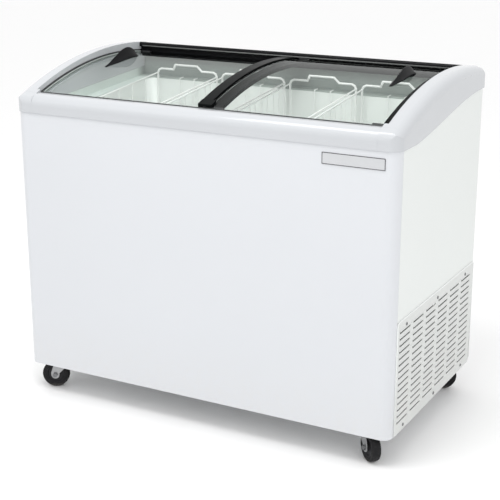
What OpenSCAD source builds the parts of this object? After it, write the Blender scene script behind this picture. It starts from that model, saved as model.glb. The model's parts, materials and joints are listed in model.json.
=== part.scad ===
// Display chest freezer with two curved sliding glass lids, four wire baskets and swivel casters.
// Millimetres. X runs left to right, Y front to back, Z up. The origin is on the floor, centred.

/* [Cabinet] */
// Width of the sheet metal cabinet
body_w = 1086; // [1082:1:1090]
// Depth of the cabinet at its front and side panels
body_d = 590; // [588:1:592]
// Height of the cabinet's lower edge above the floor
ground_gap = 78; // [78:1:84]
// Radius of the cabinet's two front vertical corners
corner_r = 26; // [20:1:30]
// Thickness of the painted steel sheets
skin_t = 1; // [0.8:0.1:1.2]

/* [Top frame] */
// How far the plastic frame stands proud of the cabinet all round
frame_over = 3; // [2:0.5:4]
// Height of the frame's lower lip at the front
lip_z = 792.5; // [792:0.5:793]
// How much higher the side lip ends at the back
lip_rise = 62; // [55:1:64]
// Height of the front rail
rail_z = 841; // [840:0.5:841]
// Radius of the arched ends, seen from the side
crest_r = 1099; // [1098:0.5:1102]
// Radius of the arched ends' outer shoulder
shoulder_r = 24; // [16:1:28]

/* [Glass lids] */
// Radius of the upper lid's outer glass surface
upper_r = 1047; // [1046:0.5:1048]
// Step from the upper lid down to the lower lid
lid_step = 12; // [12:0.5:12.5]
// Thickness of the glass
glass_t = 4; // [3:0.5:4]
// Height of the lower lid's fin handle above its glass
fin_low_h = 32; // [24:1:36]
// Height of the upper lid's fin handle above its glass
fin_high_h = 25; // [20:1:30]

/* [Liner and baskets] */
// Half width of the liner's inside
liner_x = 455; // [450:1:458]
// Height of the liner floor
floor_z = 131; // [125:1:140]
// Distance from one basket to the next
basket_pitch = 218; // [214:1:220]
// Width of one basket
basket_w = 206; // [190:1:208]
// Height of the baskets' bottom wires
basket_z = 556; // [480:1:600]
// Slope of the hooking ledge, down towards the front
ledge_tilt = 4.1; // [3.5:0.1:4.2]

/* [Side grille] */
// Height of the grille's top edge
grille_z = 374; // [370:1:378]
// Number of louvre columns
louvre_cols = 6; // [4:1:6]
// Number of louvres in a column
louvre_rows = 15; // [8:1:15]

/* [Casters] */
// Radius of the wheels
wheel_r = 38; // [34:0.5:38]
// Width of the wheels
wheel_w = 24; // [20:1:25]
// Distance from the swivel axis to the wheel's axle
caster_trail = 28; // [20:1:28]
// Radius of the axle bolts
axle_r = 4; // [3:0.5:5]

/* [Hidden] */
$fn = 48;
round_fn = 720;                     // for the large lid and arch curves
half_w = body_w / 2;
half_d = body_d / 2;
frame_x = half_w + frame_over;
frame_y = half_d + frame_over;
back_y = 290;                       // outer face of the back panel
end_x = 500;                        // inner face of the arched ends
throat_x = 490;                     // inner face of the throat below the lids
lid_c = [113, -137];                // centre of both lids' curves, as [y, z]
crest_c = [139, -176.5];            // centre of the arched ends' curve, as [y, z]
lower_r = upper_r - lid_step;
pan_z = 100;                        // underside of the base pan
bay_x = 300;                        // inner wall of the machine bay
bay_top = grille_z + 2;
ledge_c = [10, 806];                // middle of the hooking ledge, as [y, z]
ring_h = 24;                        // height of the collar's wall
liner_y = [-206, 226];              // front and back of the liner's inside
hump_x = 240;                       // the liner steps up beyond this to clear the machine bay
hump_z = 430;
liner_t = 1.5;
seam_y = -266;                      // joint between the front panel and the side panels
basket_y = [-198, 218];
basket_mid = 5;                     // the row of baskets stands a little right of centre
louvre_pitch = [89.4, 16.8];
louvre_size = [71, 8];
grille_proud = 1.4;                 // how far the grille stands out from the side panel
caster_pos = [462, 240];
// Rest direction of each caster's trail, in degrees about Z
trail_fl = 205;
trail_fr = -42;
trail_rl = 150;
trail_rr = 30;

// ---------- helpers ----------

// Height of the frame's outer lip along the side: level, then a smooth climb to the back
function lip_t(y) = min(1, max(0, (y + 190) / 480));
function lip_at(y) = lip_z + lip_rise * (0.5 * sin(90 * lip_t(y))
    + 0.5 * (3 * pow(lip_t(y), 2) - 2 * pow(lip_t(y), 3)));
// Height of the hooking ledge and of the collar's top edge
function ledge_at(y) = ledge_c[1] + (y - ledge_c[0]) * tan(ledge_tilt);
function ring_at(y) = ledge_at(y) + ring_h / cos(ledge_tilt);
// Height of a lid curve of radius r
function lid_at(y, r) = lid_c[1] + sqrt(r * r - pow(y - lid_c[0], 2));
function steps(a, b, n) = [for (i = [0:n]) a + (b - a) * i / n];

// Extrudes a side view, drawn as [y, z], from x0 to x1
module side_view(x0, x1) {
    translate([x0, 0, 0]) rotate([90, 0, 90]) linear_extrude(x1 - x0) children();
}

// Turns a cross-section, drawn as [radius, x], into an arch about an axis along X
module arch_sweep(c) {
    translate([0, c[0], c[1]]) rotate([0, 90, 0]) rotate([0, 0, 150])
        rotate_extrude(angle = 60, $fn = round_fn) children();
}

// A curved strip of a lid: radii r0 to r1, from x0 to x1 and from y0 to y1
module lid_strip(r0, r1, x0, x1, y0, y1) {
    intersection() {
        arch_sweep(lid_c) translate([r0, x0]) square([r1 - r0, x1 - x0]);
        translate([x0 - 1, y0, 700]) cube([x1 - x0 + 2, y1 - y0, 300]);
    }
}

// What a round corner takes away; dx and dy point out of the corner
module corner_off(p, r, dx, dy) {
    translate(p) difference() {
        translate([dx > 0 ? 0 : -r - 1, dy > 0 ? 0 : -r - 1]) square(r + 1);
        circle(r);
    }
}

// A bent wire through a list of points, with a small round knuckle at each bend
module wire(p, r) {
    for (i = [0:len(p) - 2]) {
        d = p[i + 1] - p[i];
        translate(p[i]) rotate([0, acos(d[2] / norm(d)), atan2(d[1], d[0])])
            cylinder(h = norm(d), r = r, $fn = 24);
    }
    if (len(p) > 2) for (i = [1:len(p) - 2]) translate(p[i]) sphere(r * 1.06, $fn = 24);
}

// ---------- cabinet skin ----------

// Plan of the cabinet with its two round front corners, shrunk by inset
module plan(inset) {
    difference() {
        translate([-half_w + inset, -half_d + inset])
            square([body_w - 2 * inset, half_d + back_y - inset]);
        for (s = [-1, 1])
            corner_off([s * (half_w - corner_r), -half_d + corner_r], corner_r - inset, s, -1);
    }
}

module front_panel() {
    color([0.93, 0.935, 0.95]) translate([0, 0, ground_gap]) linear_extrude(lip_z + 8 - ground_gap)
        intersection() {
            difference() {
                plan(0);
                plan(skin_t);
            }
            translate([-half_w - 1, -half_d - 1]) square([body_w + 2, seam_y + half_d + 1]);
        }
}

// Outline of a side panel, from a lower edge up to just inside the frame's lip
module side_outline(z0) {
    ys = steps(294, seam_y + 0.6, 28);
    polygon(concat([[seam_y + 0.6, z0], [294, z0]], [for (y = ys) [y, lip_at(y) + 8]]));
}

module side_panel_left() {
    color([0.9, 0.915, 0.91]) side_view(-half_w, -half_w + skin_t) side_outline(ground_gap);
}

module side_panel_right() {
    color([0.9, 0.915, 0.91]) side_view(half_w - skin_t, half_w) side_outline(grille_z + 0.6);
}

module back_panel() {
    color([0.78, 0.79, 0.8]) difference() {
        translate([-half_w + 1.5, back_y - skin_t, pan_z + 2])
            cube([body_w - 3, skin_t, 850 - pan_z - 2]);
        // air slots behind the machine bay
        for (i = [0:8]) translate([330, back_y - 5, 200 + i * 14]) cube([110, 10, 6]);
        // cord inlet and thermostat spindle
        translate([500, back_y - 5, 140]) rotate([-90, 0, 0]) cylinder(h = 10, r = 9);
        translate([490, back_y - 5, 320]) rotate([-90, 0, 0]) cylinder(h = 10, r = 5);
    }
}

module base_pan() {
    color([0.7, 0.71, 0.72]) difference() {
        translate([-half_w + 1.5, -half_d + 1.5, pan_z])
            cube([body_w - 3, half_d + back_y - 1.8, 2]);
        for (s = [-1, 1]) translate([s * (half_w - corner_r), -half_d + corner_r, pan_z - 1])
            linear_extrude(4) corner_off([0, 0], corner_r - 1.5, s, -1);
        translate([-300, 0, pan_z - 1]) cylinder(h = 4, r = 10);
    }
}

module machine_bay_wall() {
    color([0.7, 0.71, 0.72]) union() {
        translate([bay_x, -half_d + 2, pan_z + 2]) cube([skin_t, 570, bay_top - pan_z - 2]);
        translate([bay_x, -half_d + 2, bay_top]) cube([half_w - bay_x - 30, 570, skin_t]);
    }
}

// ---------- insulation and liner ----------

// Side view of everything below the ledge's underside
module below_ledge(drop, z0) {
    polygon([[-320, z0], [320, z0], [320, ledge_at(320) - drop], [-320, ledge_at(-320) - drop]]);
}

// The liner's box, grown outwards by grow, with its step over the machine bay
module liner_box(grow) {
    difference() {
        translate([-liner_x - grow, liner_y[0] - grow, floor_z - grow])
            cube([2 * (liner_x + grow), liner_y[1] - liner_y[0] + 2 * grow, 760]);
        translate([hump_x + grow, -400, floor_z - 50])
            cube([400, 800, hump_z - grow - floor_z + 50]);
    }
}

// Hairline joints where the liner's sheets meet
module liner_joints() {
    gap = 0.2;
    depth = liner_y[1] - liner_y[0];
    // the long walls, each in two sheets beside the step
    for (y = [liner_y[0], liner_y[1] - gap]) translate([-liner_x - 5, y, floor_z - 5])
        cube([2 * liner_x + 10, gap, 800]);
    for (y = [liner_y[0] - 5, liner_y[1] - gap])
        translate([hump_x + liner_t, y, floor_z - 5]) cube([gap, 5 + gap, 800]);
    // floor to left wall, floor to riser, riser to step, and step to right wall
    translate([-liner_x - 5, liner_y[0], floor_z]) cube([5, depth, gap]);
    translate([hump_x, liner_y[0], floor_z]) cube([5, depth, gap]);
    translate([hump_x + liner_t, liner_y[0], hump_z - 5]) cube([gap, depth, 5]);
    translate([liner_x, liner_y[0], hump_z]) cube([5, depth, gap]);
}

module inner_liner() {
    color([0.9, 0.93, 0.91]) intersection() {
        difference() {
            liner_box(liner_t);
            liner_box(0);
            translate([-300, 0, floor_z - 20]) cylinder(h = 40, r = 8);
            liner_joints();
        }
        side_view(-half_w, half_w) below_ledge(4.3, 0);
    }
}

module liner_collar() {
    yl = [liner_y[0] - ledge_c[0] - 0.5, liner_y[1] - ledge_c[0] + 0.5];
    color([0.8, 0.85, 0.82]) union() {
        translate([0, ledge_c[0], ledge_c[1]]) rotate([ledge_tilt, 0, 0]) difference() {
            translate([-throat_x - 2, yl[0] - 24, -4])
                cube([2 * throat_x + 4, yl[1] - yl[0] + 50, ring_h + 4]);
            translate([-throat_x, yl[0] - 22, 0])
                cube([2 * throat_x, yl[1] - yl[0] + 46, ring_h + 4]);
            translate([-liner_x, yl[0], -9]) cube([2 * liner_x, yl[1] - yl[0], 20]);
        }
        // fascia that closes the back wall up to the rear rail
        translate([-throat_x - 1.5, 250.1, 834]) cube([2 * throat_x + 3, 1.5, 43.6]);
    }
}

module foam_insulation() {
    color([0.93, 0.87, 0.68]) difference() {
        side_view(-half_w + 1.5, half_w - 1.5) polygon([[-half_d + 1.5, pan_z + 2.3],
            [back_y - 1.5, pan_z + 2.3], [back_y - 1.5, 845], [-200, 806], [-234, 800],
            [-half_d + 1.5, 800]]);
        for (s = [-1, 1]) translate([s * (half_w - corner_r), -half_d + corner_r, 0])
            linear_extrude(900) corner_off([0, 0], corner_r - 1.5, s, -1);
        liner_box(liner_t + 0.2);
        translate([0, ledge_c[0], ledge_c[1]]) rotate([ledge_tilt, 0, 0])
            translate([-throat_x - 2.4, -243, -4.4]) cube([2 * throat_x + 4.8, 488, 100]);
        translate([bay_x - 0.3, -half_d, 0]) cube([400, 600, bay_top + skin_t + 0.3]);
        translate([-300, 0, 0]) cylinder(h = 200, r = 10);
    }
}

// One loop of the evaporator round the liner at height z
module coil_loop(z) {
    x = liner_x + 7;
    y = [liner_y[0] - 7, liner_y[1] + 7];
    x1 = z < hump_z + 10 ? hump_x + 7 : x;
    wire([[-x, y[0], z], [x1, y[0], z], [x1, y[1], z], [-x, y[1], z], [-x, y[0], z]], 4);
    translate([-x, y[0], z]) sphere(4.24, $fn = 24);
}

module evaporator_coil() {
    color([0.75, 0.5, 0.35]) for (i = [0:6]) coil_loop(220 + i * 85);
}

// ---------- top frame ----------

module front_rail() {
    color([0.88, 0.89, 0.9]) side_view(-throat_x + 0.2, throat_x - 0.2) difference() {
        polygon([[-frame_y, lip_z], [-frame_y + 2.6, lip_z], [-frame_y + 2.6, lip_z + 9.5],
            [-233.5, lip_z + 9.5], [-233.5, 813.8], [-228, 813.8], [-228, 826.5], [-240, 826.5],
            [-240, 836.5], [-256.5, 836.5], [-256.5, rail_z], [-frame_y, rail_z]]);
        corner_off([-frame_y + 27, rail_z - 27], 27, -1, 1);
        corner_off([-257.5, rail_z - 1], 1, 1, 1);
    }
}

module rear_rail() {
    color([0.1, 0.1, 0.11]) side_view(-end_x + 0.2, end_x - 0.2) difference() {
        polygon([[236.5, 878], [252, 878], [253.5, 852], [291, 852], [291, 846], [frame_y, 846],
            [frame_y, 908], [286, 910], [243, 918], [236.5, 918]]);
        corner_off([242.5, 912], 6, -1, 1);
        corner_off([frame_y - 12, 896], 12, 1, 1);
        // running grooves for the two lids
        translate([230, lid_at(234, lower_r) - 6.4]) square([14.6, 8.8]);
        translate([230, lid_at(234, upper_r) - 6.4]) square([14.6, 8.8]);
    }
}

// Side view of an arched end above a lower edge given as a list of points, front to back
module arch_outline(edge) {
    difference() {
        polygon(concat(edge, [[frame_y, 960], [-frame_y, 960]]));
        corner_off([-frame_y + 27, 816], 27, -1, 1);
        translate([-frame_y - 1, 842.9]) square([28, 120]);
        corner_off([frame_y - 22, 889], 22, 1, 1);
        translate([frame_y - 22, 910.9]) square([30, 60]);
    }
}

module arch_end() {
    ys = steps(-frame_y, frame_y, 40);
    yb = steps(-233.8, frame_y, 36);
    difference() {
        intersection() {
            arch_sweep(crest_c) difference() {
                translate([930, -frame_x]) square([crest_r - 930, frame_x - throat_x]);
                corner_off([crest_r - shoulder_r, -frame_x + shoulder_r], shoulder_r, 1, -1);
            }
            union() {
                side_view(-frame_x, -half_w - 0.4) arch_outline([for (y = ys) [y, lip_at(y)]]);
                side_view(-half_w - 0.4, -throat_x) arch_outline(concat(
                    [[-frame_y, lip_z + 9.6], [-233.8, lip_z + 9.6]],
                    [for (y = yb) [y, max(lip_at(y) + 10, ring_at(y) + 0.4)]]));
                side_view(-throat_x - 2.5, -throat_x) intersection() {
                    arch_outline([for (y = ys) [y, ring_at(y) + 0.4]]);
                    translate([-228, 700]) square([476, 400]);
                }
            }
            linear_extrude(1200) difference() {
                translate([-frame_x, -frame_y]) square([200, 2 * frame_y]);
                corner_off([-half_w + corner_r, -half_d + corner_r], corner_r + frame_over, -1, -1);
            }
        }
        // room for the ends of both lids, with the front rail's two tracks carried on
        lid_strip(lower_r - 6.5, lower_r + 150, -end_x, -throat_x + 1, -240, 260);
        side_view(-end_x, -throat_x + 1) polygon([[-256.5, 836.5], [-240, 836.5],
            [-240, 826.5], [-226, 826.5], [-226, 1000], [-256.5, 1000]]);
        // room for the rear rail
        translate([-end_x, 235.5, 877.8]) cube([20, 100, 300]);
        translate([-end_x, 249.8, 0]) cube([20, 100, 1200]);
        // seat for the panels and clearance behind the front lip
        linear_extrude(lip_z + 9.5) plan(0.4 - frame_over + 2.6);
    }
    // rear lip, in line with the rear rail
    translate([-half_w + 1.4, back_y + 0.4, 846])
        cube([half_w - 1.6 - end_x, frame_y - back_y - 0.4, 30]);
    // front lip of the corner, outside the cabinet sheet
    translate([0, 0, lip_z]) linear_extrude(22) intersection() {
        difference() {
            translate([-frame_x, -frame_y]) square([200, 200]);
            corner_off([-half_w + corner_r, -half_d + corner_r], corner_r + frame_over, -1, -1);
            plan(-0.4);
        }
        translate([-frame_x, -frame_y]) square([frame_x - throat_x, 60]);
    }
}

module arch_left() {
    color([0.86, 0.87, 0.88]) arch_end();
}

module arch_right() {
    color([0.86, 0.87, 0.88]) mirror([1, 0, 0]) arch_end();
}

module front_gasket() {
    color([0.2, 0.22, 0.22]) side_view(-end_x + 0.2, end_x - 0.2) difference() {
        translate([-256.4, 836.5]) square([6.8, 6.2]);
        corner_off([-251.6, 840.7], 2, 1, 1);
        corner_off([-254.4, 840.7], 2, -1, 1);
    }
}

module seal_left() {
    color([0.12, 0.12, 0.13])
        lid_strip(lower_r + 2.5, lower_r + 6, -end_x, -end_x + 3.5, -248, 234);
}

module seal_right() {
    color([0.12, 0.12, 0.13])
        lid_strip(upper_r - 6, upper_r + 3, end_x - 1.4, end_x, -248, 234);
}

// ---------- glass lids ----------

// Fin handle standing on a lid surface of radius r, centred at x
module fin(r, x, h) {
    n = 26;
    y0 = -50;
    len_y = 158;
    top = [for (i = [0:n]) [y0 + len_y * i / n,
        lid_at(y0 + len_y * i / n, r) + 3 + (h - 3) * pow(sin(180 * pow(i / n, 1.7)), 0.8)]];
    difference() {
        intersection() {
            side_view(x - 16, x + 16) polygon(concat(top,
                [[y0 + len_y, lid_at(y0 + len_y, r) - 12], [y0, lid_at(y0, r) - 25]]));
            // tapered section: a wide foot under a slim fin
            translate([x, 300, r + lid_c[1]]) rotate([90, 0, 0]) linear_extrude(600)
                polygon([[-14, -60], [14, -60], [12, -8], [6.5, 10], [3.5, h], [-3.5, h],
                    [-6.5, 10], [-12, -8]]);
        }
        arch_sweep(lid_c) translate([r - 120, x - 40]) square([120, 80]);
    }
}

// One running shoe: a block under the glass at the front, or in the groove at the back
module front_shoe(r, x, y, z) {
    difference() {
        translate([x, y, z]) cube([30, 8, 12]);
        arch_sweep(lid_c) translate([r - glass_t, x - 5]) square([100, 40]);
    }
}

module back_shoe(r, x) {
    translate([x, 234, lid_at(234, r) - 6]) cube([30, 9.4, 8]);
}

module lid_left_glass() {
    color([0.72, 0.82, 0.78, 0.35])
        lid_strip(lower_r - glass_t, lower_r, -end_x + 3, 30, -238, 234);
}

module lid_left_trim() {
    color([0.1, 0.1, 0.11]) difference() {
        lid_strip(lower_r - 7, lower_r + 3.3, 18, 47.5, -238, 234);
        lid_strip(lower_r - glass_t, lower_r, 0, 30, -260, 260);
    }
}

module lid_left_edge() {
    color([0.72, 0.76, 0.74]) difference() {
        lid_strip(lower_r - 5.5, lower_r + 1.6, -end_x + 1, -end_x + 6, -238, 234);
        lid_strip(lower_r - glass_t, lower_r, -end_x + 3, 0, -260, 260);
    }
}

module lid_left_handle() {
    color([0.14, 0.14, 0.15]) fin(lower_r, -424, fin_low_h);
}

module lid_left_shoes() {
    color([0.2, 0.2, 0.21]) for (x = [-492, -15]) {
        front_shoe(lower_r, x, -237.5, 826.8);
        back_shoe(lower_r, x);
    }
}

module lid_right_glass() {
    color([0.72, 0.82, 0.78, 0.35])
        lid_strip(upper_r - glass_t, upper_r, 4, 494, -249, 234);
}

module lid_right_trim() {
    color([0.1, 0.1, 0.11]) difference() {
        union() {
            lid_strip(upper_r - 6.5, upper_r + 3.4, -9, 20, -249, 234);
            lid_strip(upper_r - 6.5, upper_r + 5, -9, 30, -249, -226);
        }
        lid_strip(upper_r - glass_t, upper_r, 4, 60, -260, 260);
    }
}

module lid_right_edge() {
    color([0.1, 0.1, 0.11]) difference() {
        lid_strip(upper_r - 6, upper_r + 2, 485.5, 498, -249, 234);
        lid_strip(upper_r - glass_t, upper_r, 400, 494, -260, 260);
    }
}

module lid_right_handle() {
    color([0.14, 0.14, 0.15]) fin(upper_r, 418, fin_high_h);
}

module lid_right_shoes() {
    color([0.2, 0.2, 0.21]) for (x = [32, 454]) {
        front_shoe(upper_r, x, -248.6, 836.8);
        back_shoe(upper_r, x);
    }
}

// ---------- baskets ----------

// Heavy end frame of a basket: a rounded arch with a raised grip in the middle of its rim
module basket_end(y, rim, grip) {
    w = basket_w / 2 - 3;
    z = basket_z + 3;
    wire([[-w, y, z], [-w, y, rim - 12], [-w + 4, y, rim - 4], [-w + 12, y, rim],
        [-46, y, rim], [-40, y, rim + grip], [34, y, rim + grip], [50, y, rim],
        [w - 12, y, rim], [w - 4, y, rim - 4], [w, y, rim - 12], [w, y, z], [-w, y, z]], 3.1);
    for (s = [-1, 1]) translate([s * w, y, z]) sphere(3.3, $fn = 24);
}

module basket(i) {
    w = basket_w / 2 - 3;
    z = basket_z + 3;
    y0 = basket_y[0] + 3;
    y1 = basket_y[1] - 3;
    rim0 = 808;
    rim1 = 848;
    color([0.93, 0.94, 0.93]) translate([basket_mid + (i - 2.5) * basket_pitch, 0, 0]) {
        basket_end(y0, rim0, 14);
        basket_end(y1, rim1, 14);
        // side rails: rim, middle and bottom
        for (s = [-1, 1]) {
            wire([[s * w, y0, rim0 - 12], [s * w, y1, rim1 - 12]], 2.2);
            wire([[s * w, y0, 690], [s * w, y1, 690]], 1.8);
            wire([[s * w, y0, z], [s * w, y1, z]], 2.2);
        }
        // wires across: up one side, over the floor and up the other
        for (k = [1:5]) {
            y = y0 + (y1 - y0) * k / 6;
            top = rim0 - 12 + (rim1 - rim0) * k / 6;
            wire([[-w - 0.6, y, top], [-w - 0.6, y, z - 0.6], [w + 0.6, y, z - 0.6],
                [w + 0.6, y, top]], 1.5);
        }
        // wires lengthways: two along the floor, and two whose ends hook over the ledge
        for (x = [-66, 66]) wire([[x, y0, z + 1], [x, y1, z + 1]], 1.6);
        for (x = [-24, 24]) {
            h0 = ledge_at(y0) + 2.4;
            h1 = ledge_at(y1 + 6) + 2.6;
            wire([[x, y0 - 17, h0], [x, y0 + 0.8, h0], [x, y0 + 0.8, z + 1], [x, y1 - 0.8, z + 1],
                [x, y1 - 0.8, h1], [x, y1 + 17, h1 + 0.8]], 1.6);
        }
    }
}

module basket_1() { basket(1); }
module basket_2() { basket(2); }
module basket_3() { basket(3); }
module basket_4() { basket(4); }

// ---------- side grille and badge ----------

module side_grille() {
    y0 = seam_y + 0.6;
    z1 = ground_gap + 34;
    top = grille_z - 0.2;
    color([0.92, 0.925, 0.92]) union() {
        difference() {
            union() {
                side_view(half_w - skin_t, half_w) translate([y0, ground_gap])
                    square([294 - y0, top - ground_gap]);
                side_view(half_w - 0.1, half_w + grille_proud) difference() {
                    translate([y0, ground_gap]) square([294 - y0, top - ground_gap]);
                    corner_off([y0 + 12, top - 12], 12, -1, 1);
                    corner_off([y0 + 6, ground_gap + 6], 6, -1, -1);
                    corner_off([286, top - 8], 8, 1, 1);
                    corner_off([282, ground_gap + 12], 12, 1, -1);
                }
            }
            for (c = [0:louvre_cols - 1], r = [0:louvre_rows - 1])
                translate([half_w - 5, -250 + c * louvre_pitch[0], z1 + r * louvre_pitch[1] - 5.5])
                    cube([10, louvre_size[0] - 2, louvre_size[1]]);
            for (y = [-207, 10, 226], z = [90, 356])
                translate([half_w - 5, y, z]) rotate([0, 90, 0]) cylinder(h = 10, r = 2.2);
        }
        // pressed hoods, each leaning out over its slot
        for (c = [0:louvre_cols - 1], r = [0:louvre_rows - 1])
            translate([half_w + grille_proud, -250 + c * louvre_pitch[0],
                z1 + r * louvre_pitch[1]]) rotate([-90, 0, 0]) linear_extrude(louvre_size[0] - 2)
                    polygon([[-1, -2.3], [-1, -4], [0, -4], [1.2, -0.7], [1.2, 0], [0.5, 0]]);
    }
}

module grille_screws() {
    color([0.6, 0.61, 0.62]) for (y = [-207, 10, 226], z = [90, 356])
        translate([half_w + grille_proud, y, z]) rotate([0, 90, 0]) difference() {
            union() {
                cylinder(h = 1.4, r1 = 4.6, r2 = 3.8);
                translate([0, 0, -9]) cylinder(h = 9, r = 2.1);
            }
            for (a = [0, 90]) rotate([0, 0, a]) translate([-2.4, -0.5, 0.7]) cube([4.8, 1, 2]);
        }
}

module badge_plate() {
    color([0.82, 0.83, 0.85]) translate([352, -half_d, 748]) rotate([90, 0, 0]) linear_extrude(1.6)
        difference() {
            square([159, 28]);
            corner_off([3, 3], 3, -1, -1);
            corner_off([156, 3], 3, 1, -1);
            corner_off([156, 25], 3, 1, 1);
            corner_off([3, 25], 3, -1, 1);
        }
}

// ---------- casters ----------

module at_caster(sx, sy) {
    translate([sx * caster_pos[0], sy * caster_pos[1], 0]) children();
}

module caster_plates() {
    color([0.68, 0.69, 0.7]) for (sx = [-1, 1], sy = [-1, 1]) at_caster(sx, sy) difference() {
        union() {
            translate([-38, -32, pan_z - 2.5]) cube([76, 64, 2.5]);
            translate([0, 0, pan_z - 7]) cylinder(h = 5, r = 23);
        }
        for (x = [-29, 29], y = [-24, 24]) translate([x, y, pan_z - 5]) cylinder(h = 8, r = 4.2);
    }
}

// Swivel fork, drawn with its trail along +X
module fork() {
    top = pan_z - 7.4;
    difference() {
        union() {
            translate([0, 0, top - 7]) cylinder(h = 7, r = 25);
            // crown and the two legs
            translate([-16, -17, top - 10]) cube([46, 34, 3.5]);
            for (s = [-1, 1]) translate([0, s * 15.5, 0]) rotate([90, 0, 0])
                linear_extrude(3, center = true) difference() {
                    polygon([[-16, top - 8], [30, top - 8], [caster_trail + 12, wheel_r + 6],
                        [caster_trail + 12, wheel_r - 10], [caster_trail - 12, wheel_r - 10],
                        [-12, top - 22]]);
                    corner_off([caster_trail + 2, wheel_r], 10, 1, -1);
                    corner_off([caster_trail - 2, wheel_r], 10, -1, -1);
                    translate([caster_trail, wheel_r]) circle(axle_r + 0.3);
                }
        }
        // king pin's recess
        translate([0, 0, top - 20]) cylinder(h = 9, r = 10);
        translate([caster_trail, -14, wheel_r]) rotate([-90, 0, 0]) cylinder(h = 28, r = wheel_r + 2.4);
    }
}

module axle() {
    translate([caster_trail, 0, wheel_r]) rotate([90, 0, 0]) union() {
        cylinder(h = 42, r = axle_r, center = true);
        translate([0, 0, 17.2]) cylinder(h = 5, r = 7, $fn = 6);
        translate([0, 0, -22.2]) cylinder(h = 5, r = 7, $fn = 6);
    }
}

module wheel() {
    translate([caster_trail, 0, wheel_r]) rotate([90, 0, 0]) difference() {
        rotate_extrude($fn = 96) difference() {
            translate([axle_r + 0.05, -wheel_w / 2]) square([wheel_r - axle_r - 0.05, wheel_w]);
            corner_off([wheel_r - 4, wheel_w / 2 - 4], 4, 1, 1);
            corner_off([wheel_r - 4, -wheel_w / 2 + 4], 4, 1, -1);
            for (s = [-1, 1]) translate([11, s > 0 ? wheel_w / 2 - 3 : -wheel_w / 2 - 1])
                square([16, 4]);
        }
    }
}

module caster_fork_fl() { color([0.64, 0.65, 0.66]) at_caster(-1, -1) rotate(trail_fl) fork(); }
module caster_fork_fr() { color([0.64, 0.65, 0.66]) at_caster(1, -1) rotate(trail_fr) fork(); }
module caster_fork_rl() { color([0.64, 0.65, 0.66]) at_caster(-1, 1) rotate(trail_rl) fork(); }
module caster_fork_rr() { color([0.64, 0.65, 0.66]) at_caster(1, 1) rotate(trail_rr) fork(); }
module caster_axle_fl() { color([0.7, 0.7, 0.7]) at_caster(-1, -1) rotate(trail_fl) axle(); }
module caster_axle_fr() { color([0.7, 0.7, 0.7]) at_caster(1, -1) rotate(trail_fr) axle(); }
module caster_axle_rl() { color([0.7, 0.7, 0.7]) at_caster(-1, 1) rotate(trail_rl) axle(); }
module caster_axle_rr() { color([0.7, 0.7, 0.7]) at_caster(1, 1) rotate(trail_rr) axle(); }
module caster_wheel_fl() { color([0.11, 0.11, 0.12]) at_caster(-1, -1) rotate(trail_fl) wheel(); }
module caster_wheel_fr() { color([0.11, 0.11, 0.12]) at_caster(1, -1) rotate(trail_fr) wheel(); }
module caster_wheel_rl() { color([0.11, 0.11, 0.12]) at_caster(-1, 1) rotate(trail_rl) wheel(); }
module caster_wheel_rr() { color([0.11, 0.11, 0.12]) at_caster(1, 1) rotate(trail_rr) wheel(); }

// ---------- machine bay ----------

module compressor() {
    color([0.1, 0.1, 0.11]) translate([410, 150, 0]) union() {
        // pressed steel shell with a waist flange
        translate([0, 0, 120]) rotate_extrude($fn = 64) union() {
            translate([0, 20]) square([70, 130]);
            translate([0, 82]) square([74, 6]);
            difference() {
                translate([0, 0]) square([70, 170]);
                corner_off([50, 20], 20, 1, -1);
                corner_off([50, 150], 20, 1, 1);
            }
        }
        // base rails
        for (s = [-1, 1]) translate([s * 55 - 14, -90, 116]) cube([28, 180, 5]);
        // electrical box
        translate([-30, -96, 170]) cube([60, 30, 60]);
    }
}

module compressor_feet() {
    color([0.13, 0.13, 0.13]) for (sx = [-1, 1], sy = [-1, 1])
        translate([410 + sx * 55, 150 + sy * 80, pan_z + 2]) cylinder(h = 14, r = 11);
}

module condenser() {
    color([0.35, 0.35, 0.36]) union() {
        // fins
        for (i = [0:13]) translate([468, -230 + i * 15, 112]) cube([54, 1, 236]);
        // tube passes
        for (z = [135, 185, 235, 285, 325]) translate([495, -240, z]) rotate([-90, 0, 0])
            cylinder(h = 215, r = 4);
        // end plates
        for (y = [-236, -33]) translate([464, y, pan_z + 2]) cube([62, 2, 254]);
    }
}

module fan_bracket() {
    color([0.45, 0.46, 0.47]) union() {
        translate([345, -150, pan_z + 2]) cube([60, 32, 2]);
        translate([366, -150, pan_z + 2]) cube([3, 32, 150]);
    }
}

module fan_motor() {
    color([0.2, 0.2, 0.21]) translate([369, -134, 230]) rotate([0, 90, 0]) union() {
        cylinder(h = 44, r = 29);
        cylinder(h = 70, r = 3);
    }
}

module fan_blade() {
    color([0.75, 0.76, 0.77]) translate([420, -134, 230]) rotate([0, 90, 0]) difference() {
        union() {
            cylinder(h = 22, r = 16);
            for (a = [0:72:359]) rotate([0, 0, a]) translate([40, 0, 11]) rotate([28, 0, 0])
                cube([56, 34, 1.6], center = true);
            for (a = [0:72:359]) rotate([0, 0, a]) translate([68, 0, 11]) rotate([28, 0, 0])
                cylinder(h = 1.6, r = 17, center = true);
        }
        translate([0, 0, -1]) cylinder(h = 24, r = 3.05);
    }
}

module filter_drier() {
    color([0.72, 0.45, 0.32]) translate([322, 60, 200]) rotate([-90, 0, 0]) rotate_extrude($fn = 40)
        polygon([[0, 0], [3, 0], [9.5, 12], [9.5, 98], [3, 110], [0, 110]]);
}

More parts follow.
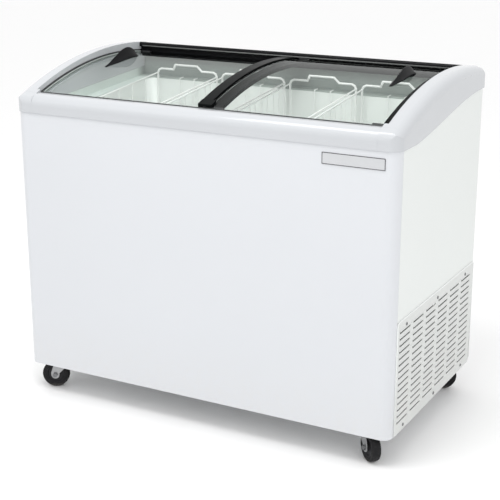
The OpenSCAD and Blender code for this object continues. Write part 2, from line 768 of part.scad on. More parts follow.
module refrigerant_tubes() {
    color([0.72, 0.45, 0.32]) {
        wire([[410, 78, 255], [410, 40, 255], [495, 40, 255], [495, 40, 235], [495, -26, 235]], 3);
        wire([[495, -26, 135], [495, 20, 135], [322, 20, 135], [322, 20, 200], [322, 62, 200]], 3);
        wire([[322, 168, 200], [322, 200, 200], [322, 200, 365], [301.4, 200, 365]], 2.5);
        wire([[410, 218, 190], [410, 250, 190], [410, 250, 362], [301.4, 250, 362]], 3);
    }
}

module thermostat() {
    color([0.85, 0.86, 0.86]) union() {
        translate([470, back_y - 41, 300]) cube([40, 39, 40]);
        translate([490, back_y - 3, 320]) rotate([-90, 0, 0]) cylinder(h = 8, r = 3);
    }
}

module thermostat_knob() {
    color([0.15, 0.15, 0.16]) translate([490, back_y + 0.5, 320]) rotate([-90, 0, 0]) difference() {
        cylinder(h = 6.8, r1 = 15, r2 = 13.5);
        translate([0, 0, -1]) cylinder(h = 6, r = 3.05);
        translate([-1, 5, 5.6]) cube([2, 7, 3]);
    }
}

module cord_gland() {
    color([0.12, 0.12, 0.13]) translate([500, back_y - 9, 140]) rotate([-90, 0, 0]) difference() {
        union() {
            cylinder(h = 7.7, r = 12);
            cylinder(h = 12, r = 8.7);
            translate([0, 0, 9.2]) cylinder(h = 4, r = 12);
        }
        translate([0, 0, -1]) cylinder(h = 20, r = 4);
    }
}

module drain_pipe() {
    color([0.85, 0.86, 0.86]) translate([-300, 0, 86]) difference() {
        union() {
            cylinder(h = floor_z - 86 - liner_t, r = 7.7);
            translate([0, 0, 8]) cylinder(h = 5.8, r = 9.7);
        }
        translate([0, 0, -1]) cylinder(h = 60, r = 5.5);
    }
}

module drain_plug() {
    color([0.2, 0.2, 0.21]) translate([-300, 0, floor_z]) union() {
        cylinder(h = 4, r = 12);
        translate([0, 0, -22]) cylinder(h = 22, r = 5.4);
        translate([-2, -9, 3]) cube([4, 18, 8]);
    }
}

front_panel();
side_panel_left();
side_panel_right();
back_panel();
base_pan();
machine_bay_wall();
foam_insulation();
inner_liner();
liner_collar();
evaporator_coil();
front_rail();
arch_left();
arch_right();
rear_rail();
front_gasket();
seal_left();
seal_right();
side_grille();
grille_screws();
badge_plate();
lid_left_glass();
lid_left_trim();
lid_left_edge();
lid_left_handle();
lid_left_shoes();
lid_right_glass();
lid_right_trim();
lid_right_edge();
lid_right_handle();
lid_right_shoes();
basket_1();
basket_2();
basket_3();
basket_4();
caster_plates();
caster_fork_fl();
caster_fork_fr();
caster_fork_rl();
caster_fork_rr();
caster_axle_fl();
caster_axle_fr();
caster_axle_rl();
caster_axle_rr();
caster_wheel_fl();
caster_wheel_fr();
caster_wheel_rl();
caster_wheel_rr();
compressor();
compressor_feet();
condenser();
fan_bracket();
fan_motor();
fan_blade();
filter_drier();
refrigerant_tubes();
thermostat();
thermostat_knob();
cord_gland();
drain_pipe();
drain_plug();
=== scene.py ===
import json
import math

import bmesh
import bpy
from mathutils import Matrix, Vector


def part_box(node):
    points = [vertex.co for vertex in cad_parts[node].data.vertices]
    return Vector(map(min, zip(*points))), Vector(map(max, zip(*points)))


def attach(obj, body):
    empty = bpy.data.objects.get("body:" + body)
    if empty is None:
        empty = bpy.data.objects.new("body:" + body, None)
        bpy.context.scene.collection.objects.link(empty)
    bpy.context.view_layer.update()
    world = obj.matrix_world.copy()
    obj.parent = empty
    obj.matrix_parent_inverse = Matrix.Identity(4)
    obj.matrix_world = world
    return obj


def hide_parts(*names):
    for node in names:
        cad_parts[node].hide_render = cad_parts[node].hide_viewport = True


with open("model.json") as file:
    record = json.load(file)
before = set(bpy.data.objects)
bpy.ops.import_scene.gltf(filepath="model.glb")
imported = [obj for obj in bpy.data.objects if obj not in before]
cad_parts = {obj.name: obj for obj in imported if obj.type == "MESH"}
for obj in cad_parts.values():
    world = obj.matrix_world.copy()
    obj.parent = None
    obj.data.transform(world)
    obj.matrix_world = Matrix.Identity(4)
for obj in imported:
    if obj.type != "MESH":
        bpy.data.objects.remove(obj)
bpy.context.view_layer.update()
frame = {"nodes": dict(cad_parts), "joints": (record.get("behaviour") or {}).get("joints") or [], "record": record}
NODES = frame["nodes"]
JOINTS = {joint["name"]: joint for joint in frame["joints"]}

# Centre of the lids' curve as (y, z), and the outer radius of each lid's glass
LID_CENTRE = (0.113, -0.137)
LID_RADIUS = {"left": 1.035, "right": 1.047}
FLOOR_LEVEL = 0.0
# Radius of the liner's upright corners, and a point on its sloping ledge
COVE = 0.026
LEDGE_Y, LEDGE_Z = 0.010, 0.8016
# Place and rim height of a basket's front and back end frames, and the radius of their wire
BASKET_ENDS = ((-0.195, 0.808), (0.215, 0.848))
END_WIRE = 0.0031
# Ends of the wire that leads up to a grip, from the basket's middle, and how far it rises
GRIP_FOOT, GRIP_SHOULDER, GRIP_RISE = -0.046, -0.040, 0.014
# Points closer than this are joined before an edge is rounded
WELD_DISTANCE = 1e-5
# Colour of the painted shade on the collar's back wall, where the rear rail shades it
PAINTED_RAIL_SHADE = (0.29, 0.32, 0.305)
# Colour of the glass's mirrored light: the share of the surroundings that it shows at most
GLASS_MIRROR = (0.42, 0.43, 0.425, 1.0)
GLASS_INDEX, GLASS_ROUGHNESS = 1.45, 0.02
# Noise seldom leaves this range
NOISE_LOW, NOISE_HIGH = 0.22, 0.78
# Sockets of a Mix node that blends colours
MIX_FACTOR, MIX_A, MIX_B, MIX_RESULT = 0, 6, 7, 2


# ---------- node helpers ----------

class Shader:
    """A Principled material with a few helpers for its nodes."""

    def __init__(self, name, colour, roughness, metallic=0.0, coat=0.0, coat_roughness=0.1):
        self.material = bpy.data.materials.new(name)
        self.material.use_nodes = True
        self.nodes = self.material.node_tree.nodes
        self.links = self.material.node_tree.links
        self.main = self.nodes["Principled BSDF"]
        self.colour = colour
        self.main.inputs["Base Color"].default_value = (*colour, 1.0)
        self.main.inputs["Roughness"].default_value = roughness
        self.main.inputs["Metallic"].default_value = metallic
        self.main.inputs["Coat Weight"].default_value = coat
        self.main.inputs["Coat Roughness"].default_value = coat_roughness

    def add(self, kind, **values):
        node = self.nodes.new(kind)
        for key, value in values.items():
            if hasattr(node, key):
                setattr(node, key, value)
            else:
                node.inputs[key].default_value = value
        return node

    def link(self, source, target):
        self.links.new(source, target)

    def coords(self, scale=(1, 1, 1)):
        """Object coordinates in metres, stretched by scale."""
        place = self.add("ShaderNodeTexCoord")
        stretch = self.add("ShaderNodeMapping")
        stretch.inputs["Scale"].default_value = scale
        self.link(place.outputs["Object"], stretch.inputs["Vector"])
        return stretch.outputs["Vector"]

    def noise(self, scale, detail=3.0, stretch=(1, 1, 1)):
        texture = self.add("ShaderNodeTexNoise", Scale=scale, Detail=detail)
        self.link(self.coords(stretch), texture.inputs["Vector"])
        return texture.outputs["Fac"]

    def remap(self, value, low, high, from_low=NOISE_LOW, from_high=NOISE_HIGH):
        """Maps a value from one range to another, and holds it inside the new one."""
        spread = self.add("ShaderNodeMapRange")
        for name, number in (("From Min", from_low), ("From Max", from_high),
                             ("To Min", low), ("To Max", high)):
            spread.inputs[name].default_value = number
        self.link(value, spread.inputs["Value"])
        return spread.outputs["Result"]

    def tint(self, mask, other):
        """Blends the colour that is there towards other, fully where mask is 1."""
        blend = self.nodes.new("ShaderNodeMix")
        blend.data_type = "RGBA"
        before = self.main.inputs["Base Color"]
        if before.is_linked:
            self.link(before.links[0].from_socket, blend.inputs[MIX_A])
        else:
            blend.inputs[MIX_A].default_value = before.default_value
        blend.inputs[MIX_B].default_value = (*other, 1.0)
        self.link(mask, blend.inputs[MIX_FACTOR])
        self.link(blend.outputs[MIX_RESULT], before)

    def vary_colour(self, scale, amount, stretch=(1, 1, 1)):
        """Cloudy lightening and darkening of the colour by amount."""
        darker = [c * (1 - amount) for c in self.colour]
        self.tint(self.remap(self.noise(scale, 4.0, stretch), 0.0, 1.0), darker)

    def vary_roughness(self, scale, low, high, stretch=(1, 1, 1)):
        """Cloudy change of the roughness between low and high."""
        self.link(self.remap(self.noise(scale, 4.0, stretch), low, high),
                  self.main.inputs["Roughness"])

    def bump(self, height, strength, distance):
        """Adds height to the bump, on top of any bump already there."""
        relief = self.add("ShaderNodeBump", Strength=strength, Distance=distance)
        normal = self.main.inputs["Normal"]
        if normal.is_linked:
            self.link(normal.links[0].from_socket, relief.inputs["Normal"])
        self.link(height, relief.inputs["Height"])
        self.link(relief.outputs["Normal"], normal)

    def place_mask(self, axis, low, high, below=0.0, above=1.0):
        """Fades from one value to another between two places along an axis, in metres."""
        place = self.add("ShaderNodeTexCoord")
        split = self.add("ShaderNodeSeparateXYZ")
        self.link(place.outputs["Object"], split.inputs["Vector"])
        return self.remap(split.outputs[axis], below, above, low, high)

    def height_mask(self, low, high):
        """1 below low and 0 above high, by height above the floor."""
        return self.place_mask("Z", low, high, 1.0, 0.0)

    def times(self, a, b):
        product = self.add("ShaderNodeMath", operation="MULTIPLY")
        self.link(a, product.inputs[0])
        self.link(b, product.inputs[1])
        return product.outputs["Value"]


# ---------- materials ----------

def enamel(name, colour, roughness=(0.3, 0.36)):
    """Sprayed and baked enamel on sheet steel: orange peel, faint clouding, dust near the floor."""
    s = Shader(name, colour, roughness[0], coat=0.15, coat_roughness=0.12)
    s.main.inputs["Specular IOR Level"].default_value = 0.35
    s.vary_colour(2.0, 0.02)
    s.vary_roughness(3.0, *roughness)
    s.bump(s.noise(420.0, 2.0), strength=0.04, distance=0.0005)
    s.bump(s.noise(2.2, 0.5), strength=0.03, distance=0.003)
    dust = s.times(s.height_mask(0.08, 0.26), s.remap(s.noise(60.0), 0.0, 0.22))
    s.tint(dust, (0.62, 0.6, 0.56))
    return s.material


def moulded(name, colour, roughness, grain=0.05, grain_scale=700.0, coat=0.0, shine=0.35):
    """Injection-moulded plastic: fine texture, slight flow marks and uneven gloss."""
    s = Shader(name, colour, roughness[0], coat=coat)
    s.main.inputs["Specular IOR Level"].default_value = shine
    s.vary_colour(6.0, 0.03, (0.4, 1, 1))
    s.vary_roughness(24.0, *roughness)
    s.bump(s.noise(grain_scale, 2.0), grain, 0.0004)
    return s.material


def rubber(name, colour):
    """Extruded rubber: drawn lines along its length and a dusty bloom."""
    s = Shader(name, colour, 0.7)
    s.tint(s.remap(s.noise(90.0, 5.0), 0.0, 0.35, 0.45, 0.8), (0.16, 0.16, 0.16))
    s.vary_roughness(50.0, 0.5, 0.8)
    s.bump(s.noise(500.0, 2.0, (0.05, 1, 1)), strength=0.15, distance=0.0005)
    return s.material


def wire_coat(name, colour):
    """Thick white plastic coating dipped over basket wire."""
    s = Shader(name, colour, 0.25, coat=0.3)
    s.vary_colour(40.0, 0.05)
    s.vary_roughness(80.0, 0.29, 0.4)
    s.bump(s.noise(260.0, 2.0), strength=0.12, distance=0.0006)
    return s.material


def zinc(name, colour):
    """Bright zinc plating: spangle, brushed streaks and dull spots."""
    s = Shader(name, colour, 0.35, metallic=0.9)
    spangle = s.add("ShaderNodeTexVoronoi", Scale=160.0)
    s.link(s.coords(), spangle.inputs["Vector"])
    s.tint(s.remap(spangle.outputs["Distance"], 0.0, 0.3, 0.0, 0.8), [c * 0.8 for c in colour])
    s.tint(s.remap(s.noise(35.0, 5.0), 0.0, 0.5, 0.5, 0.75), [c * 0.72 for c in colour])
    s.vary_roughness(55.0, 0.3, 0.5)
    s.bump(s.noise(600.0, 2.0, (1, 1, 0.1)), strength=0.06, distance=0.0004)
    return s.material


def tyre(name, colour):
    """Hard rubber tread with floor dust worked into it."""
    s = Shader(name, colour, 0.6)
    s.main.inputs["Specular IOR Level"].default_value = 0.2
    s.tint(s.remap(s.noise(120.0, 6.0), 0.0, 0.2, 0.5, 0.8), (0.08, 0.076, 0.07))
    s.tint(s.times(s.height_mask(0.0, 0.012), s.remap(s.noise(70.0), 0.1, 0.5)), (0.2, 0.19, 0.17))
    s.vary_roughness(90.0, 0.42, 0.75)
    s.bump(s.noise(340.0, 4.0), strength=0.2, distance=0.0006)
    return s.material


def bare_metal(name, colour, roughness, metallic=1.0, streak=(1, 1, 1), dirt=0.3):
    """Bare or lightly tarnished metal with directional streaks."""
    s = Shader(name, colour, roughness[0], metallic=metallic)
    s.tint(s.remap(s.noise(30.0, 5.0), 0.0, dirt, 0.45, 0.8), [c * 0.6 for c in colour])
    s.vary_roughness(60.0, *roughness, streak)
    s.bump(s.noise(500.0, 3.0, streak), strength=0.1, distance=0.0004)
    return s.material


def foam(name, colour):
    """Rigid foam with open cells and a darker aged skin."""
    s = Shader(name, colour, 0.95)
    cells = s.add("ShaderNodeTexVoronoi", Scale=320.0)
    s.link(s.coords(), cells.inputs["Vector"])
    s.bump(cells.outputs["Distance"], strength=0.6, distance=0.002)
    s.vary_colour(12.0, 0.18)
    return s.material


def liner_paint(name, colour):
    """Pre-painted liner sheet with a fine stucco emboss and a little frost low down."""
    s = Shader(name, colour, 0.35, coat=0.15)
    s.vary_colour(5.0, 0.04)
    s.vary_roughness(30.0, 0.28, 0.5)
    s.bump(s.noise(160.0, 2.0), strength=0.08, distance=0.0008)
    frost = s.times(s.height_mask(0.2, 0.7), s.remap(s.noise(45.0, 6.0), 0.0, 0.5, 0.45, 0.75))
    s.tint(frost, (0.9, 0.94, 0.95))
    return s.material


def collar_plastic(name, colour):
    """The collar's moulded plastic, with painted shade darkening its back wall under the rear rail."""
    s = Shader(name, colour, 0.35)
    s.vary_colour(6.0, 0.03, (0.4, 1, 1))
    # Painted shade: the back wall turns darker towards the rear, where the rail's shadow falls
    s.tint(s.place_mask("Y", 0.205, 0.24), PAINTED_RAIL_SHADE)
    s.vary_roughness(24.0, 0.35, 0.5)
    s.bump(s.noise(700.0, 2.0), strength=0.05, distance=0.0004)
    return s.material


def lid_glass(name, tint):
    """A clear pane with a faint green tint that mirrors at a slant, on its outer side only."""
    material = bpy.data.materials.new(name)
    material.use_nodes = True
    nodes, links = material.node_tree.nodes, material.node_tree.links
    nodes.clear()
    out = nodes.new("ShaderNodeOutputMaterial")
    clear = nodes.new("ShaderNodeBsdfTransparent")
    clear.inputs["Color"].default_value = (*tint, 1.0)
    mirror = nodes.new("ShaderNodeBsdfGlossy")
    mirror.inputs["Roughness"].default_value = GLASS_ROUGHNESS
    mirror.inputs["Color"].default_value = GLASS_MIRROR
    fresnel = nodes.new("ShaderNodeFresnel")
    fresnel.inputs["IOR"].default_value = GLASS_INDEX
    side = nodes.new("ShaderNodeNewGeometry")
    outer = nodes.new("ShaderNodeMath")
    outer.operation = "SUBTRACT"
    outer.inputs[0].default_value = 1.0
    links.new(side.outputs["Backfacing"], outer.inputs[1])
    share = nodes.new("ShaderNodeMath")
    share.operation = "MULTIPLY"
    links.new(fresnel.outputs["Fac"], share.inputs[0])
    links.new(outer.outputs["Value"], share.inputs[1])
    mix = nodes.new("ShaderNodeMixShader")
    links.new(share.outputs["Value"], mix.inputs["Fac"])
    links.new(clear.outputs["BSDF"], mix.inputs[1])
    links.new(mirror.outputs["BSDF"], mix.inputs[2])
    links.new(mix.outputs["Shader"], out.inputs["Surface"])
    return material


def make_materials():
    """Every material by name: one for each slot of the record, and four more for added pieces."""
    return {
        "front_paint": enamel("front_paint", (0.625, 0.64, 0.665)),
        "side_paint": enamel("side_paint", (0.71, 0.735, 0.72), (0.32, 0.38)),
        "grille_paint": enamel("grille_paint", (0.62, 0.635, 0.622), (0.32, 0.38)),
        # Painted highlight: the grille's rolled lip is given a lighter copy of the grille's enamel
        "grille_lip": enamel("grille_lip", (0.78, 0.8, 0.79)),
        "pale_trim": moulded("pale_trim", (0.46, 0.5, 0.485), (0.3, 0.4)),
        "badge_rim": moulded("badge_rim", (0.06, 0.06, 0.065), (0.3, 0.45)),
        "hub_black": moulded("hub_black", (0.02, 0.02, 0.022), (0.4, 0.55), grain=0.1, shine=0.2),
        "galvanised": bare_metal("galvanised", (0.6, 0.61, 0.62), (0.4, 0.6), metallic=0.75,
                                 dirt=0.1),
        "foam": foam("foam", (0.85, 0.75, 0.5)),
        "liner_paint": liner_paint("liner_paint", (0.945, 0.97, 0.95)),
        "collar_plastic": collar_plastic("collar_plastic", (0.66, 0.72, 0.69)),
        # Painted highlight: the grey of the rail's pile strip stands for light along the rail's lower lip
        "pile_highlight_grey": rubber("pile_highlight_grey", (0.12, 0.125, 0.122)),
        "frame_plastic": moulded("frame_plastic", (0.515, 0.53, 0.55), (0.14, 0.24), grain=0.02,
                                 grain_scale=300.0, coat=0.4),
        "rail_black": moulded("rail_black", (0.006, 0.006, 0.007), (0.16, 0.26), grain=0.03,
                              grain_scale=600.0, shine=0.12),
        "seal_rubber": rubber("seal_rubber", (0.03, 0.033, 0.033)),
        "trim_black": moulded("trim_black", (0.005, 0.006, 0.006), (0.3, 0.44), grain=0.04,
                              grain_scale=500.0, shine=0.04),
        "handle_black": moulded("handle_black", (0.006, 0.006, 0.007), (0.34, 0.46), grain=0.1,
                                grain_scale=900.0, shine=0.1),
        "shoe_plastic": moulded("shoe_plastic", (0.04, 0.04, 0.042), (0.45, 0.65), grain=0.1),
        "basket_wire": wire_coat("basket_wire", (0.97, 0.975, 0.965)),
        "badge_metal": bare_metal("badge_metal", (0.6, 0.61, 0.625), (0.3, 0.45), metallic=0.6,
                                  streak=(0.02, 1, 1), dirt=0.1),
        "screw_steel": bare_metal("screw_steel", (0.2, 0.205, 0.21), (0.3, 0.5), metallic=0.9),
        "caster_zinc": zinc("caster_zinc", (0.4, 0.405, 0.41)),
        "wheel_black": tyre("wheel_black", (0.009, 0.009, 0.01)),
        "compressor_paint": enamel("compressor_paint", (0.012, 0.012, 0.014), (0.35, 0.5)),
        "copper": bare_metal("copper", (0.72, 0.36, 0.2), (0.3, 0.5), dirt=0.5),
        "condenser_paint": moulded("condenser_paint", (0.05, 0.05, 0.055), (0.5, 0.7), grain=0.1),
        "fan_plastic": moulded("fan_plastic", (0.55, 0.56, 0.58), (0.35, 0.5)),
        "motor_black": enamel("motor_black", (0.03, 0.03, 0.032), (0.4, 0.55)),
        "switch_plastic": moulded("switch_plastic", (0.68, 0.7, 0.7), (0.3, 0.45)),
        "lid_glass": lid_glass("lid_glass", (0.985, 0.997, 0.991)),
    }


# ---------- mesh helpers ----------

def round_angles(count):
    """Angles that go once round in equal steps."""
    return [2 * math.pi * i / count for i in range(count)]


def new_piece(name, bm, material, body):
    """Turns a bmesh into a smooth-shaded object that rides on a body."""
    bmesh.ops.recalc_face_normals(bm, faces=bm.faces)
    mesh = bpy.data.meshes.new(name)
    bm.to_mesh(mesh)
    bm.free()
    for face in mesh.polygons:
        face.use_smooth = True
    piece = bpy.data.objects.new(name, mesh)
    bpy.context.scene.collection.objects.link(piece)
    mesh.materials.append(material)
    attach(piece, body)
    return piece


def soften(piece, width, segments=2, angle=30):
    """Rounds the hard edges of a piece and shades it smoothly between them."""
    weld = piece.modifiers.new("weld", "WELD")
    weld.merge_threshold = WELD_DISTANCE
    bevel = piece.modifiers.new("edges", "BEVEL")
    bevel.width = width
    bevel.segments = segments
    bevel.limit_method = "ANGLE"
    bevel.angle_limit = math.radians(angle)
    bevel.harden_normals = True
    for face in piece.data.polygons:
        face.use_smooth = True


def rings_to_mesh(bm, rings):
    """Skins a list of closed rings of points, all of one length, and caps both ends."""
    rows = [[bm.verts.new(p) for p in ring] for ring in rings]
    for a, b in zip(rows, rows[1:]):
        for i in range(len(a)):
            j = (i + 1) % len(a)
            bm.faces.new((a[i], a[j], b[j], b[i]))
    bm.faces.new(rows[0][::-1])
    bm.faces.new(rows[-1])


def lathe(bm, profile, origin, axis, turns=64):
    """Turns a closed profile of (radius, along) points about an axis."""
    along = Vector(axis).normalized()
    side = along.orthogonal().normalized()
    up = along.cross(side)
    rings = []
    for a in round_angles(turns):
        out = side * math.cos(a) + up * math.sin(a)
        rings.append([bm.verts.new(Vector(origin) + out * r + along * h) for r, h in profile])
    for i in range(turns):
        a, b = rings[i], rings[(i + 1) % turns]
        for j in range(len(profile)):
            k = (j + 1) % len(profile)
            bm.faces.new((a[j], a[k], b[k], b[j]))


def mirrored(half):
    """A whole (radius, along) profile from the half that lies below the middle."""
    return half + [(r, -along) for r, along in half[::-1]]


def lid_height(y, radius):
    """Height of a lid's outer face at y."""
    return LID_CENTRE[1] + math.sqrt(radius ** 2 - (y - LID_CENTRE[0]) ** 2)


# ---------- pieces ----------

def finish_cad_nodes(materials):
    """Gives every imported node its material, darker steel on the bolts and rounded edges on two."""
    edge_width = {"thermostat": 0.002, "fan_blade": 0.0005}
    for part in frame["record"]["subparts"]:
        node = NODES[part["node"]]
        node.data.materials.clear()
        node.data.materials.append(materials[part["material_slot"]])
        if part["node"] in edge_width:
            soften(node, edge_width[part["node"]])
        if part["node"].startswith("caster_axle"):
            node.data.materials[0] = materials["screw_steel"]


def make_handle(side, material):
    """A half-moon grip: a fin that flares into a foot on the glass and ends in two soft tips."""
    node = f"lid_{side}_handle"
    low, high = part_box(node)
    middle = (low.x + high.x) / 2
    length = high.y - low.y
    radius = LID_RADIUS[side]
    crown_place, lean, tip = 0.68, 1.7, 0.004
    tip_height, crown_cut, glass_gap = 0.002, 0.0028, 0.0002
    tip_foot, foot_flare, flare_rate = 0.0035, 0.009, 2.2
    tip_crest, crest_gain = 0.0022, 0.0012
    hollow, fullness, squareness = 2.2, 0.8, 0.55
    crown = high.z - lid_height(low.y + crown_place * length, radius)
    stations, sides = 64, 28
    rings = []
    for i in range(stations + 1):
        t = tip + (1 - 2 * tip) * i / stations
        y = low.y + length * t
        rise = math.sin(math.pi * t ** lean)
        height = tip_height + (crown - crown_cut) * rise ** fullness
        foot = tip_foot + foot_flare * min(1.0, rise * flare_rate) ** 0.5
        crest = tip_crest + crest_gain * rise
        base = lid_height(y, radius) + glass_gap
        ring = []
        for j in range(sides + 1):
            a = math.pi * j / sides
            up = math.sin(a)
            width = crest + (foot - crest) * (1 - up) ** hollow
            across = math.copysign(abs(math.cos(a)) ** squareness, math.cos(a))
            ring.append((middle - across * width, y, base + height * up ** fullness))
        rings.append(ring)
    bm = bmesh.new()
    rings_to_mesh(bm, rings)
    grip = new_piece(f"grip_{side}", bm, material, f"lid_{side}")
    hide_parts(node)


def make_wheel(corner, materials):
    """A caster wheel: hard tread with rounded shoulders on a dished hub, with a bush round the bolt."""
    spin = JOINTS[f"caster_{corner}_spin"]
    centre, axis = spin["pos_m"], spin["axis"]
    body = f"caster_roll_{corner}"
    tread = mirrored([(0.0262, -0.0112), (0.0335, -0.0118), (0.0352, -0.0116), (0.0366, -0.0106),
                      (0.0376, -0.0085), (0.0380, -0.0040)])
    bm = bmesh.new()
    lathe(bm, tread, centre, axis, 96)
    band = new_piece(f"tread_{corner}", bm, materials["wheel_black"], body)
    soften(band, 0.0006, 2, 35)
    hub = mirrored([(0.0042, -0.0119), (0.0095, -0.0119), (0.0104, -0.0112), (0.0112, -0.0078),
                    (0.0215, -0.0072), (0.0238, -0.0104), (0.0258, -0.0110), (0.0261, -0.0098)])
    bm = bmesh.new()
    lathe(bm, hub, centre, axis, 72)
    core = new_piece(f"hub_{corner}", bm, materials["hub_black"], body)
    soften(core, 0.0004, 2, 35)
    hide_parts(f"caster_wheel_{corner}")
    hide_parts(f"caster_wheel_{corner}")


def extrude_outline(bm, outline, thickness, place):
    """A plate with the given (x, z) outline, centred on its own thickness, moved by place."""
    rings_to_mesh(bm, [[place @ Vector((x, y, z)) for x, z in outline]
                       for y in (-thickness / 2, thickness / 2)])


def arc_points(cx, cz, r, a0, a1, n=10):
    """Points along an arc from angle a0 to a1, in degrees."""
    return [(cx + r * math.cos(math.radians(a0 + (a1 - a0) * i / n)),
             cz + r * math.sin(math.radians(a0 + (a1 - a0) * i / n))) for i in range(n + 1)]


def make_fork(corner, materials):
    """The pressed swivel fork: bearing cup, crown and two shouldered legs."""
    swivel = Vector(JOINTS[f"caster_{corner}_swivel"]["pos_m"])
    wheel = Vector(JOINTS[f"caster_{corner}_spin"]["pos_m"])
    away = Vector((wheel.x - swivel.x, wheel.y - swivel.y, 0))
    trail = away.length
    turn = Matrix.Rotation(math.atan2(away.y, away.x), 4, "Z")
    base = Matrix.Translation((swivel.x, swivel.y, 0)) @ turn
    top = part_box(f"caster_fork_{corner}")[1].z
    body = f"caster_swivel_{corner}"
    bm = bmesh.new()
    cup = [(0.0, top - 0.0102), (0.0165, top - 0.0102), (0.0232, top - 0.0072),
           (0.0248, top - 0.0045), (0.0248, top - 0.0016), (0.0236, top), (0.0, top)]
    lathe(bm, cup, (swivel.x, swivel.y, 0), (0, 0, 1), 64)
    nose, reach, half_width = -0.004, 0.030, 0.0172
    crown = arc_points(nose, 0.0, half_width, 90, 270, 14)
    crown += [(reach, -half_width), (reach, half_width)]
    under, over = 0.0100, 0.0068
    rings_to_mesh(bm, [[base @ Vector((x, y, top - drop)) for x, y in crown]
                       for drop in (under, over)])
    eye, gauge, leg_place = 0.0118, 0.0028, 0.0156
    leg = [(-0.0085, top - 0.0072), (-0.0115, top - 0.016), (-0.0095, top - 0.024),
           (trail - eye, wheel.z + 0.004)]
    leg += arc_points(trail, wheel.z, eye, 180, 360, 16)
    leg += [(trail + eye, wheel.z + 0.006), (0.0290, top - 0.016), (0.0298, top - 0.0072)]
    for side in (-1, 1):
        extrude_outline(bm, leg, gauge, base @ Matrix.Translation((0, side * leg_place, 0)))
    fork = new_piece(f"fork_{corner}", bm, materials["caster_zinc"], body)
    soften(fork, 0.0008, 3, 28)
    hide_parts(f"caster_fork_{corner}")


def make_badge(materials):
    """A blank plate with a raised rim, on the upper right of the front panel."""
    low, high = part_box("badge_plate")
    bm = bmesh.new()
    bmesh.ops.create_cube(bm, size=1.0)
    bmesh.ops.scale(bm, vec=(high.x - low.x, high.y - low.y, high.z - low.z), verts=bm.verts)
    bmesh.ops.translate(bm, vec=(low + high) / 2, verts=bm.verts)
    face = min(bm.faces, key=lambda f: f.calc_center_median().y)
    rim, bead, sunk = 0.0016, 0.0006, 0.0007
    bmesh.ops.inset_individual(bm, faces=[face], thickness=rim)
    bmesh.ops.inset_individual(bm, faces=[face], thickness=bead, depth=-sunk)
    plate = new_piece("badge_blank", bm, materials["badge_metal"], "cabinet")
    plate.data.materials.append(materials["badge_rim"])
    border = rim + bead
    for polygon in plate.data.polygons:
        centre = polygon.center
        inside = (low.x + border < centre.x < high.x - border
                  and low.z + border < centre.z < high.z - border)
        polygon.material_index = 0 if inside and polygon.normal.y < -0.9 else 1
    soften(plate, 0.0003, 2, 40)
    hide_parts("badge_plate")


def make_coves(materials):
    """The rounded upright corners inside the liner."""
    low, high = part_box("inner_liner")
    sheet, bay_step, steps = 0.0016, 0.3005, 16
    ledge_slope = math.tan(math.radians(4.1))
    for side in (-1, 1):
        for end, y in (("front", low.y + sheet), ("back", high.y - sheet)):
            inward = 1 if end == "front" else -1
            x = (low.x + sheet) if side < 0 else (high.x - sheet)
            bottom = low.z + (sheet if side < 0 else bay_step)
            profile = [(x, y)]
            for i in range(steps + 1):
                a = math.radians(90 * i / steps)
                profile.append((x - side * COVE * (1 - math.sin(a)),
                                y + inward * COVE * (1 - math.cos(a))))
            bm = bmesh.new()
            top = [(px, py, LEDGE_Z + (py - LEDGE_Y) * ledge_slope) for px, py in profile]
            rings_to_mesh(bm, [[(px, py, bottom) for px, py in profile], top])
            name = "cove_%s_%s" % (end, "left" if side < 0 else "right")
            piece = new_piece(name, bm, materials["liner_paint"], "cabinet")
            # The face that lies along the front or back wall
            piece.data.polygons[0].use_smooth = False


def make_grip_risers(materials):
    """The short wires that join each basket's rim to the left end of its raised grips."""
    for k in range(1, 5):
        low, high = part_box(f"basket_{k}")
        middle = (low.x + high.x) / 2
        bm = bmesh.new()
        for y, rim in BASKET_ENDS:
            foot = Vector((middle + GRIP_FOOT, y, rim))
            shoulder = Vector((middle + GRIP_SHOULDER, y, rim + GRIP_RISE))
            depth = Vector((0, 1, 0))
            side = (shoulder - foot).cross(depth).normalized()
            around = [END_WIRE * (side * math.cos(a) + depth * math.sin(a))
                      for a in round_angles(24)]
            rings_to_mesh(bm, [[end + out for out in around] for end in (foot, shoulder)])
        new_piece(f"grip_riser_{k}", bm, materials["basket_wire"], f"basket_{k}")


def make_rail_pile(materials):
    """A strip of brush pile along the rear rail's face, over the lids' grooves; its grey is a painted highlight,
    the light along the rail's lower lip.
    """
    low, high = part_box("rear_rail")
    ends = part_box("liner_collar")
    lip_drop, end_gap, buried = 0.0115, 0.004, 0.0002
    lip, back = high.z - lip_drop, low.y + buried
    section = [(low.y - 0.0007, lip), (back, lip), (back, lip + 0.003),
               (low.y - 0.0004, lip + 0.0032), (low.y - 0.0009, lip + 0.0016)]
    stations = (ends[0].x + end_gap, 0.0, ends[1].x - end_gap)
    bm = bmesh.new()
    rings_to_mesh(bm, [[(x, y, z) for y, z in section] for x in stations])
    new_piece("rail_pile", bm, materials["pile_highlight_grey"], "cabinet")


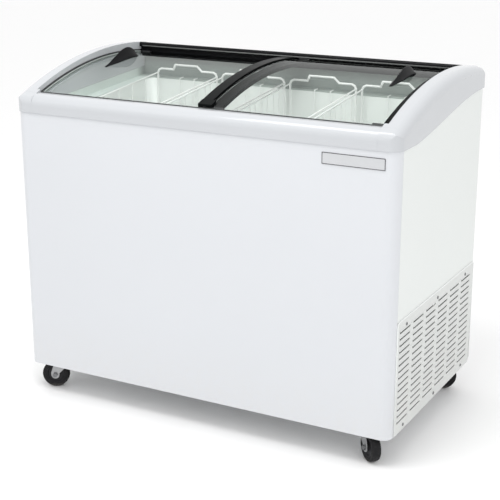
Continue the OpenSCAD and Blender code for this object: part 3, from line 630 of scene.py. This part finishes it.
def make_grille_lip(materials):
    """The rolled edge along the grille's front, top and rear, painted lighter than the grille as a painted
    highlight.
    """
    low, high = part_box("side_grille")
    radius, sunk = 0.0019, 0.0016
    front_turn, rear_turn, lead = 0.012, 0.008, 0.001
    front_foot, rear_foot = 0.006, 0.012
    face = high.x - sunk
    path = [(low.y, low.z + front_foot), (low.y, high.z - front_turn - lead)]
    path += arc_points(low.y + front_turn, high.z - front_turn, front_turn, 180, 90)
    path += arc_points(high.y - rear_turn, high.z - rear_turn, rear_turn, 90, 0)
    path += [(high.y, high.z - rear_turn - lead), (high.y, low.z + rear_foot)]
    rings = []
    for i, (y, z) in enumerate(path):
        before, after = path[max(i - 1, 0)], path[min(i + 1, len(path) - 1)]
        along = Vector((after[0] - before[0], after[1] - before[1])).normalized()
        rings.append([(face + radius * math.sin(a), y - along.y * radius * math.cos(a),
                       z + along.x * radius * math.cos(a)) for a in round_angles(16)])
    bm = bmesh.new()
    rings_to_mesh(bm, rings)
    new_piece("grille_lip", bm, materials["grille_lip"], "cabinet")


def make_floor():
    """A wide white studio floor, just under the wheels."""
    reach, gap = 14.0, 0.0003
    bm = bmesh.new()
    bmesh.ops.create_grid(bm, x_segments=2, y_segments=2, size=reach)
    mesh = bpy.data.meshes.new("studio_floor")
    bm.to_mesh(mesh)
    bm.free()
    floor = bpy.data.objects.new("studio_floor", mesh)
    floor.location.z = FLOOR_LEVEL - gap
    bpy.context.scene.collection.objects.link(floor)
    s = Shader("studio_floor", (0.97, 0.97, 0.97), 0.6)
    s.vary_roughness(3.0, 0.5, 0.7)
    mesh.materials.append(s.material)


# ---------- studio ----------

def softbox(name, location, target, size, power):
    """A rectangular lamp that faces its target."""
    lamp = bpy.data.lights.new(name, "AREA")
    lamp.shape = "RECTANGLE"
    lamp.size, lamp.size_y = size
    lamp.energy = power
    box = bpy.data.objects.new(name, lamp)
    box.location = location
    box.rotation_euler = (Vector(target) - Vector(location)).to_track_quat("-Z", "Y").to_euler()
    bpy.context.scene.collection.objects.link(box)


def make_lights():
    """A white surround, with softboxes from the front left, the front right and above."""
    world = bpy.data.worlds.new("studio")
    world.use_nodes = True
    background = world.node_tree.nodes["Background"]
    background.inputs["Color"].default_value = (1.0, 1.0, 1.0, 1)
    background.inputs["Strength"].default_value = 1.0
    bpy.context.scene.world = world
    softbox("key_box", location=(-1.8, -3.2, 3.4), target=(0, 0, 0.5),
            size=(2.6, 2.0), power=9)
    softbox("side_box", location=(2.6, -2.4, 2.0), target=(0.5, -0.2, 0.5),
            size=(1.2, 1.6), power=16)
    softbox("top_box", location=(-0.1, -0.9, 2.6), target=(0, 0.25, 0.6),
            size=(1.6, 0.9), power=22)


def make_camera():
    """The photograph's viewpoint: from the front right, looking a little down."""
    lens = bpy.data.cameras.new("main_camera")
    lens.sensor_width = 36.0
    lens.lens = 86.3
    lens.clip_end = 60.0
    camera = bpy.data.objects.new("main_camera", lens)
    camera.location = (1.501, -2.771, 1.3755)
    pitch, heading = 17.1, 28.4
    camera.rotation_euler = (math.radians(90 - pitch), 0, math.radians(heading))
    bpy.context.scene.collection.objects.link(camera)
    bpy.context.scene.camera = camera
    bpy.context.scene.view_settings.view_transform = "Standard"


def main():
    """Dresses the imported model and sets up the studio."""
    materials = make_materials()
    finish_cad_nodes(materials)
    for side in ("left", "right"):
        make_handle(side, materials["handle_black"])
    for corner in ("fl", "fr", "rl", "rr"):
        make_wheel(corner, materials)
        make_fork(corner, materials)
    make_badge(materials)
    make_coves(materials)
    make_grip_risers(materials)
    make_rail_pile(materials)
    make_grille_lip(materials)
    make_floor()
    make_lights()
    make_camera()


main()
